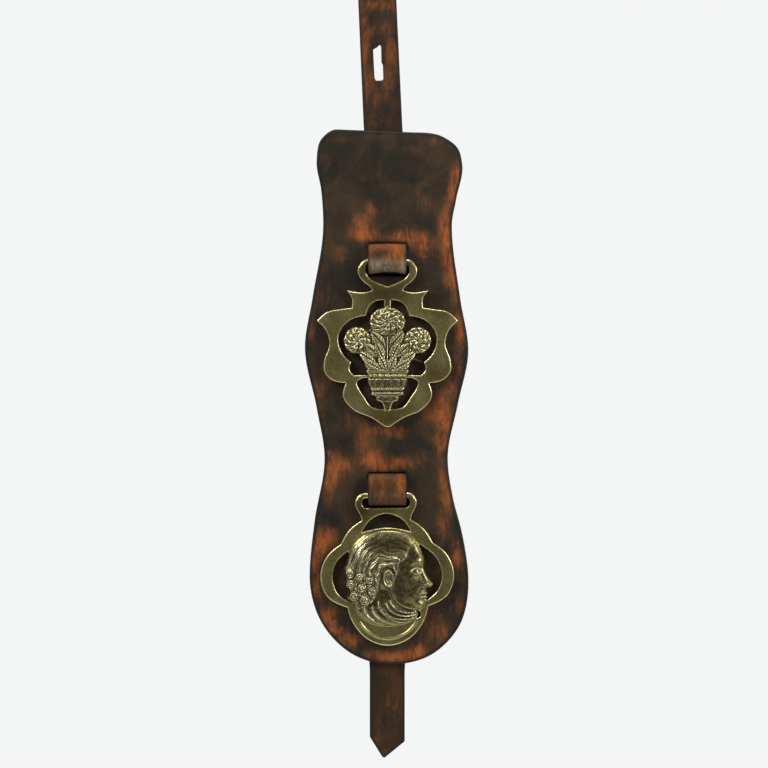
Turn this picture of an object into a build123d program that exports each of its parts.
"""Harness strap with two horse brasses: a shaped leather panel, a long strap woven through it, two castings.

The part hangs by the slot in its strap. The origin is the centre of that slot, +Z is up, the front
faces -Y and +X is to the right of someone who looks at the front. All lengths are millimetres.
"""

from build123d import *
import math
import os

# ---------------------------------------------------------------- driving dimensions
strap_thickness = 2.8
strap_width = 19.9  # woven stretch, over both bridges
tail_width = 18.6  # pointed end below the panel
strap_x = 4.8  # the woven stretch's middle

panel_x = 5.0  # the panel's middle, to the right of the slot
panel_thickness = 3.6
panel_top = -36.6
panel_bottom = -319.8
panel_gap = 0.1  # between the strap's front face and the panel's back

slot_width = 4.8
slot_length = 19.3
slot_corner = 0.8

strap_top = 67.5  # cut end of the strap
strap_lean = 2.6  # degrees, top end leans to the left
strap_axis_x = 1.0  # the strap's middle beside the slot's centre
top_width = 20.2  # strap width beside the slot
top_width_low = 20.8  # the strap is a little wider where it meets the panel

bend_gap = 0.4  # between the two rounded ends at a bend of the strap
tip_height = -370.0
tip_shoulder = -359.0  # the cut starts lower on the right side
shoulder_drop = 2.4
tip_x = -1.6  # the blunt tip, from the strap's middle
tip_sides = ((1.2, 0.9), (-1.4, 1.1))  # its two corners, right and left, from the tip

bridge_tops = (-96.8, -218.5)  # upper edge of each bridge
bridge_bottoms = (-113.2, -235.3)  # lower edge of each bridge
front_bends = (4.0, 3.4)  # centreline radius where the strap turns down over each bar
rear_bend = 1.6  # centreline radius where the strap turns into a slit
slit_clearance = 0.2  # in front of and behind the strap
slit_side_clearance = 0.6

bar_radius = 1.7
bar_clearance = 0.5
bar_heights = (-106.4, -229.9)
upper_bar_half = 11.9  # from the middle to the centre of each rounded end
lower_bar_half = 13.2
plate_thickness = 3.2
upper_brass_x = 4.9
lower_brass_x = 4.0
lower_brass_lean = 1.1  # degrees, its lower end hangs to the right

motif_height = 2.2  # the raised figures stand this far out of their plates
head_height = 3.0

# ---------------------------------------------------------------- derived places
half_strap = strap_thickness / 2
panel_back = half_strap + panel_gap
panel_front = panel_back + panel_thickness
bar_depth = panel_front + bar_clearance + bar_radius
bridge_depth = bar_depth + bar_radius + bar_clearance + half_strap
plate_back = bar_depth - plate_thickness / 2
bend_reach = half_strap + bend_gap
top_bend_z = panel_top + bend_reach
tail_bend_z = panel_bottom - bend_reach
slits = [(top - half_strap, bottom + half_strap) for top, bottom in zip(bridge_tops, bridge_bottoms)]

up, down, left, right = (0, 1), (0, -1), (-1, 0), (1, 0)
panel_plane = Plane(origin=(panel_x, -panel_back, 0), x_dir=(1, 0, 0), z_dir=(0, -1, 0))


def across(height):
    """X of the leaning top strap's middle at a height."""
    return strap_axis_x - height * math.tan(math.radians(strap_lean))


# ---------------------------------------------------------------- leather
top_half_low = top_width_low / 2
top_half = top_width / 2
lean_plane = Plane(
    origin=(0, half_strap, 0),
    x_dir=(math.cos(math.radians(strap_lean)), 0, math.sin(math.radians(strap_lean))),
    z_dir=(0, -1, 0),
)

with BuildPart() as strap_top_end:
    with BuildSketch(Plane.XZ.offset(-half_strap)):
        with BuildLine():
            Polyline(
                (across(top_bend_z) - top_half_low, top_bend_z),
                (across(strap_top) - top_half, strap_top),
                (across(strap_top) + top_half, strap_top),
                (across(top_bend_z) + top_half_low, top_bend_z),
                close=True,
            )
        make_face()
    extrude(amount=strap_thickness)
    # rounded end on the axis of the bend
    with BuildSketch(Plane.YZ.offset(across(top_bend_z) - top_half_low)):
        with Locations((0, top_bend_z)):
            Circle(half_strap)
    extrude(amount=2 * top_half_low)
    # slot for a buckle's tongue, in line with the strap
    with BuildSketch(lean_plane):
        RectangleRounded(slot_width, slot_length, slot_corner)
    extrude(amount=strap_thickness, mode=Mode.SUBTRACT)

with BuildPart() as woven_strap:
    with BuildSketch(Plane.YZ.offset(strap_x)):
        with BuildLine():
            corners = [(0, top_bend_z - bend_reach)]
            radii = []
            for (upper, lower), front_bend in zip(slits, front_bends):
                corners += [(0, upper), (-bridge_depth, upper), (-bridge_depth, lower), (0, lower)]
                radii += [rear_bend, front_bend, front_bend, rear_bend]
            corners.append((0, tail_bend_z + bend_reach))
            FilletPolyline(*corners, radius=radii)
        trace(line_width=strap_thickness)
    extrude(amount=strap_width / 2, both=True)

with BuildPart() as strap_tail:
    with BuildSketch(Plane.XZ.offset(-half_strap)):
        with BuildLine():
            Polyline(
                (strap_x - tail_width / 2, tail_bend_z),
                (strap_x + tail_width / 2, tail_bend_z),
                (strap_x + tail_width / 2, tip_shoulder - shoulder_drop),
                (strap_x + tip_x + tip_sides[0][0], tip_height + tip_sides[0][1]),
                (strap_x + tip_x, tip_height),
                (strap_x + tip_x + tip_sides[1][0], tip_height + tip_sides[1][1]),
                (strap_x - tail_width / 2, tip_shoulder),
                close=True,
            )
        make_face()
    extrude(amount=strap_thickness)
    with BuildSketch(Plane.YZ.offset(strap_x)):
        with Locations((0, tail_bend_z)):
            Circle(half_strap)
    extrude(amount=tail_width / 2, both=True)

with BuildPart() as leather_panel:
    with BuildSketch(panel_plane):
        with BuildLine():
            # straight top edge
            Line((-27.0, panel_top), (14.0, panel_top))
            # right side: corner, waist, bulge, waist, bulge
            Spline(
                (14.0, panel_top),
                (30.0, -38.8),
                (37.9, -45.6),
                (39.7, -54.0),
                (36.4, -73.0),
                (34.1, -87.0),
                tangents=(right, down),
            )
            Spline(
                (34.1, -87.0),
                (38.6, -126.0),
                (42.8, -154.0),
                (37.3, -181.6),
                (31.9, -210.5),
                tangents=(down, down),
            )
            Spline((31.9, -210.5), (34.6, -231.0), (39.7, -251.0), (42.9, -276.0), tangents=(down, down))
            # round foot
            Spline((42.9, -276.0), (37.8, -299.7), (22.5, -315.0), (1.5, panel_bottom), tangents=(down, left))
            Spline(
                (1.5, panel_bottom),
                (-17.5, -315.0),
                (-33.4, -300.2),
                (-41.4, -273.0),
                tangents=(left, up),
            )
            # left side, upwards
            Spline((-41.4, -273.0), (-38.8, -244.0), (-33.5, -210.5), tangents=(up, up))
            Spline(
                (-33.5, -210.5),
                (-37.6, -184.0),
                (-43.9, -151.5),
                (-39.8, -125.0),
                (-34.2, -86.0),
                tangents=(up, up),
            )
            Spline(
                (-34.2, -86.0),
                (-35.3, -68.0),
                (-37.7, -53.0),
                (-35.2, -41.2),
                (-27.0, panel_top),
                tangents=(up, right),
            )
        make_face()
        for pair in slits:
            for slit in pair:
                with Locations((strap_x - panel_x, slit)):
                    Rectangle(
                        strap_width + 2 * slit_side_clearance,
                        strap_thickness + 2 * slit_clearance,
                        mode=Mode.SUBTRACT,
                    )
    extrude(amount=panel_thickness)


# ---------------------------------------------------------------- castings
def hanger_plane(x, height, lean, depth):
    """Plane whose origin is on the bar's axis line, facing the front, turned by the casting's lean."""
    angle = math.radians(lean)
    return Plane(origin=(x, -depth, height), x_dir=(math.cos(angle), 0, math.sin(angle)), z_dir=(0, -1, 0))


def bar_plane(x, height, lean):
    """Plane square to the bar, halfway along it."""
    angle = math.radians(lean)
    return Plane(origin=(x, -bar_depth, height), x_dir=(0, 1, 0), z_dir=(math.cos(angle), 0, math.sin(angle)))


def bar_ends(x, height, lean, reach):
    """Centres of the bar's two rounded ends."""
    middle = bar_plane(x, height, lean)
    return [middle.offset(side * reach).origin for side in (-1, 1)]


upper_face = hanger_plane(upper_brass_x, bar_heights[0], 0, plate_back)
lower_face = hanger_plane(lower_brass_x, bar_heights[1], lower_brass_lean, plate_back)

with BuildPart() as upper_brass:
    with BuildSketch(upper_face):
        # leaf-shaped frame: hanger ring, two eared shoulders, two wings, a lobed pointed foot
        with BuildLine():
            Line((0, 0), (13.4, 0))
            Spline((13.4, 0), (15.6, -3.8), (15.0, -7.4), (12.4, -11.1), (9.2, -13.5), (8.3, -15.0))
            Spline((8.3, -15.0), (11.2, -15.9), (22.0, -14.9))
            Spline((22.0, -14.9), (18.9, -19.4), (19.0, -24.3))
            Spline((19.0, -24.3), (25.4, -25.1), (31.8, -26.4), (37.4, -31.2))
            Spline(
                (37.4, -31.2),
                (32.4, -36.6),
                (30.7, -42.9),
                (33.5, -52.4),
                (33.6, -57.6),
                (29.8, -62.3),
                (22.2, -64.2),
            )
            Spline((22.2, -64.2), (23.6, -70.8), (18.2, -78.2), (8.2, -82.8), (3.0, -86.2))
            Spline((3.0, -86.2), (1.5, -87.2), (0, -87.5), tangents=((-0.8, -0.6), left))
            mirror(about=Plane.YZ)
        make_face()
        # hole of the hanger ring, which the strap passes through
        with BuildLine():
            Polyline((0, 0), (10.5, 0), (10.5, -bar_radius))
            Spline((10.5, -bar_radius), (11.8, -4.2), (10.3, -8.6), (4.8, -11.3), (0, -13.3))
            mirror(about=Plane.YZ)
        make_face(mode=Mode.SUBTRACT)
        # pierced ground round the raised flowers
        with BuildLine():
            Line((0, -20.4), (3.3, -20.4))
            Spline((3.3, -20.4), (6.9, -21.3), (9.7, -24.1), (11.4, -28.6))
            Spline((11.4, -28.6), (20.1, -31.2), (25.6, -38.4), (24.6, -46.8), (19.1, -53.2))
            Spline((19.1, -53.2), (19.9, -57.0), (17.6, -59.9))
            Line((17.6, -59.9), (0, -59.9))
            mirror(about=Plane.YZ)
        make_face(mode=Mode.SUBTRACT)
        # pierced ground round the foot of the vase
        with BuildLine():
            Line((0, -61.9), (12.3, -61.4))
            ThreePointArc((12.3, -61.4), (15.9, -63.4), (14.9, -67.4))
            Spline((14.9, -67.4), (12.2, -71.4), (8.2, -76.6), (1.6, -77.8))
            Line((1.6, -77.8), (0, -77.8))
            mirror(about=Plane.YZ)
        make_face(mode=Mode.SUBTRACT)
    extrude(amount=plate_thickness)
    # three round flowers on a banded vase, joined to the frame above, at both sides and below
    with BuildSketch(upper_face):
        with Locations((0, -31.6)):
            Ellipse(9.6, 7.5)
        with Locations((-16.1, -41.6), (16.1, -41.6)):
            Circle(7.0)
        with BuildLine():
            Polyline((0, -19.5), (1.8, -19.5), (1.8, -30.0), (15.0, -37.0), (16.0, -47.5), (10.3, -56.0))
            Polyline((10.3, -56.0), (12.9, -57.8), (9.4, -64.0), (8.2, -69.2), (6.9, -69.6), (6.2, -73.2))
            Polyline((6.2, -73.2), (2.3, -74.0), (1.8, -79.0), (0, -79.0))
            mirror(about=Plane.YZ)
        make_face()
    extrude(amount=plate_thickness + motif_height)
    # round bar that the strap holds
    with BuildSketch(bar_plane(upper_brass_x, bar_heights[0], 0)):
        Circle(bar_radius)
    extrude(amount=upper_bar_half, both=True)
    with Locations(*bar_ends(upper_brass_x, bar_heights[0], 0, upper_bar_half)):
        Sphere(bar_radius)

with BuildPart() as lower_brass:
    with BuildSketch(lower_face):
        # four-lobed frame below an eared hanger
        with BuildLine():
            Line((0, 0), (14.6, 0))
            Spline((14.6, 0), (16.6, -3.6), (14.4, -8.6), (13.1, -12.9))
            Spline((13.1, -12.9), (19.5, -17.6), (24.4, -25.3))
            Spline((24.4, -25.3), (31.8, -31.6), (35.4, -43.0), (31.9, -53.0), (21.4, -59.0))
            Spline((21.4, -59.0), (18.3, -67.8), (10.9, -76.0), (0, -79.5), tangents=((-0.15, -1), (-1, 0)))
            mirror(about=Plane.YZ)
        make_face()
        # slot that the strap passes through
        with BuildLine():
            Polyline((0, 0), (11.4, 0), (11.4, -bar_radius))
            Spline((11.4, -bar_radius), (12.3, -3.4), (11.8, -5.6), (10.2, -6.5))
            Line((10.2, -6.5), (0, -6.5))
            mirror(about=Plane.YZ)
        make_face(mode=Mode.SUBTRACT)
        # pierced ground round the head
        with BuildLine():
            Spline((-12.8, -19.6), (-8.4, -13.0), (0, -9.8), (8.4, -13.0), (12.8, -19.6))
            Line((12.8, -19.6), (17.8, -26.4))
            Spline((17.8, -26.4), (26.2, -34.0), (28.8, -42.4), (26.4, -50.4), (20.6, -55.6))
            Line((20.6, -55.6), (-18.6, -56.6))
            Spline((-18.6, -56.6), (-26.4, -51.0), (-28.8, -42.4), (-26.4, -34.6), (-20.6, -29.4))
            Line((-20.6, -29.4), (-12.8, -19.6))
        make_face(mode=Mode.SUBTRACT)
        with Locations((15.0, -62.6)):
            Circle(1.9, mode=Mode.SUBTRACT)
    extrude(amount=plate_thickness)
    # head in profile, with its collar, kept as plain rounded masses
    with BuildSketch(lower_face):
        with Locations((-2.5, -39.0)):
            Ellipse(20.0, 21.3)
        with Locations((10.5, -41.0)):
            Ellipse(12.0, 15.0)
        with Locations((-1.5, -60.0)):
            Ellipse(18.5, 9.0)
    extrude(amount=plate_thickness + head_height)
    with BuildSketch(bar_plane(lower_brass_x, bar_heights[1], lower_brass_lean)):
        Circle(bar_radius)
    extrude(amount=lower_bar_half, both=True)
    with Locations(*bar_ends(lower_brass_x, bar_heights[1], lower_brass_lean, lower_bar_half)):
        Sphere(bar_radius)

# ---------------------------------------------------------------- files
os.makedirs("parts", exist_ok=True)
pieces = {
    "strap_top": strap_top_end,
    "strap_woven": woven_strap,
    "strap_tail": strap_tail,
    "leather_panel": leather_panel,
    "upper_horse_brass": upper_brass,
    "lower_horse_brass": lower_brass,
}
for name, piece in pieces.items():
    piece.part.label = name
    export_step(piece.part, f"parts/{name}.step")
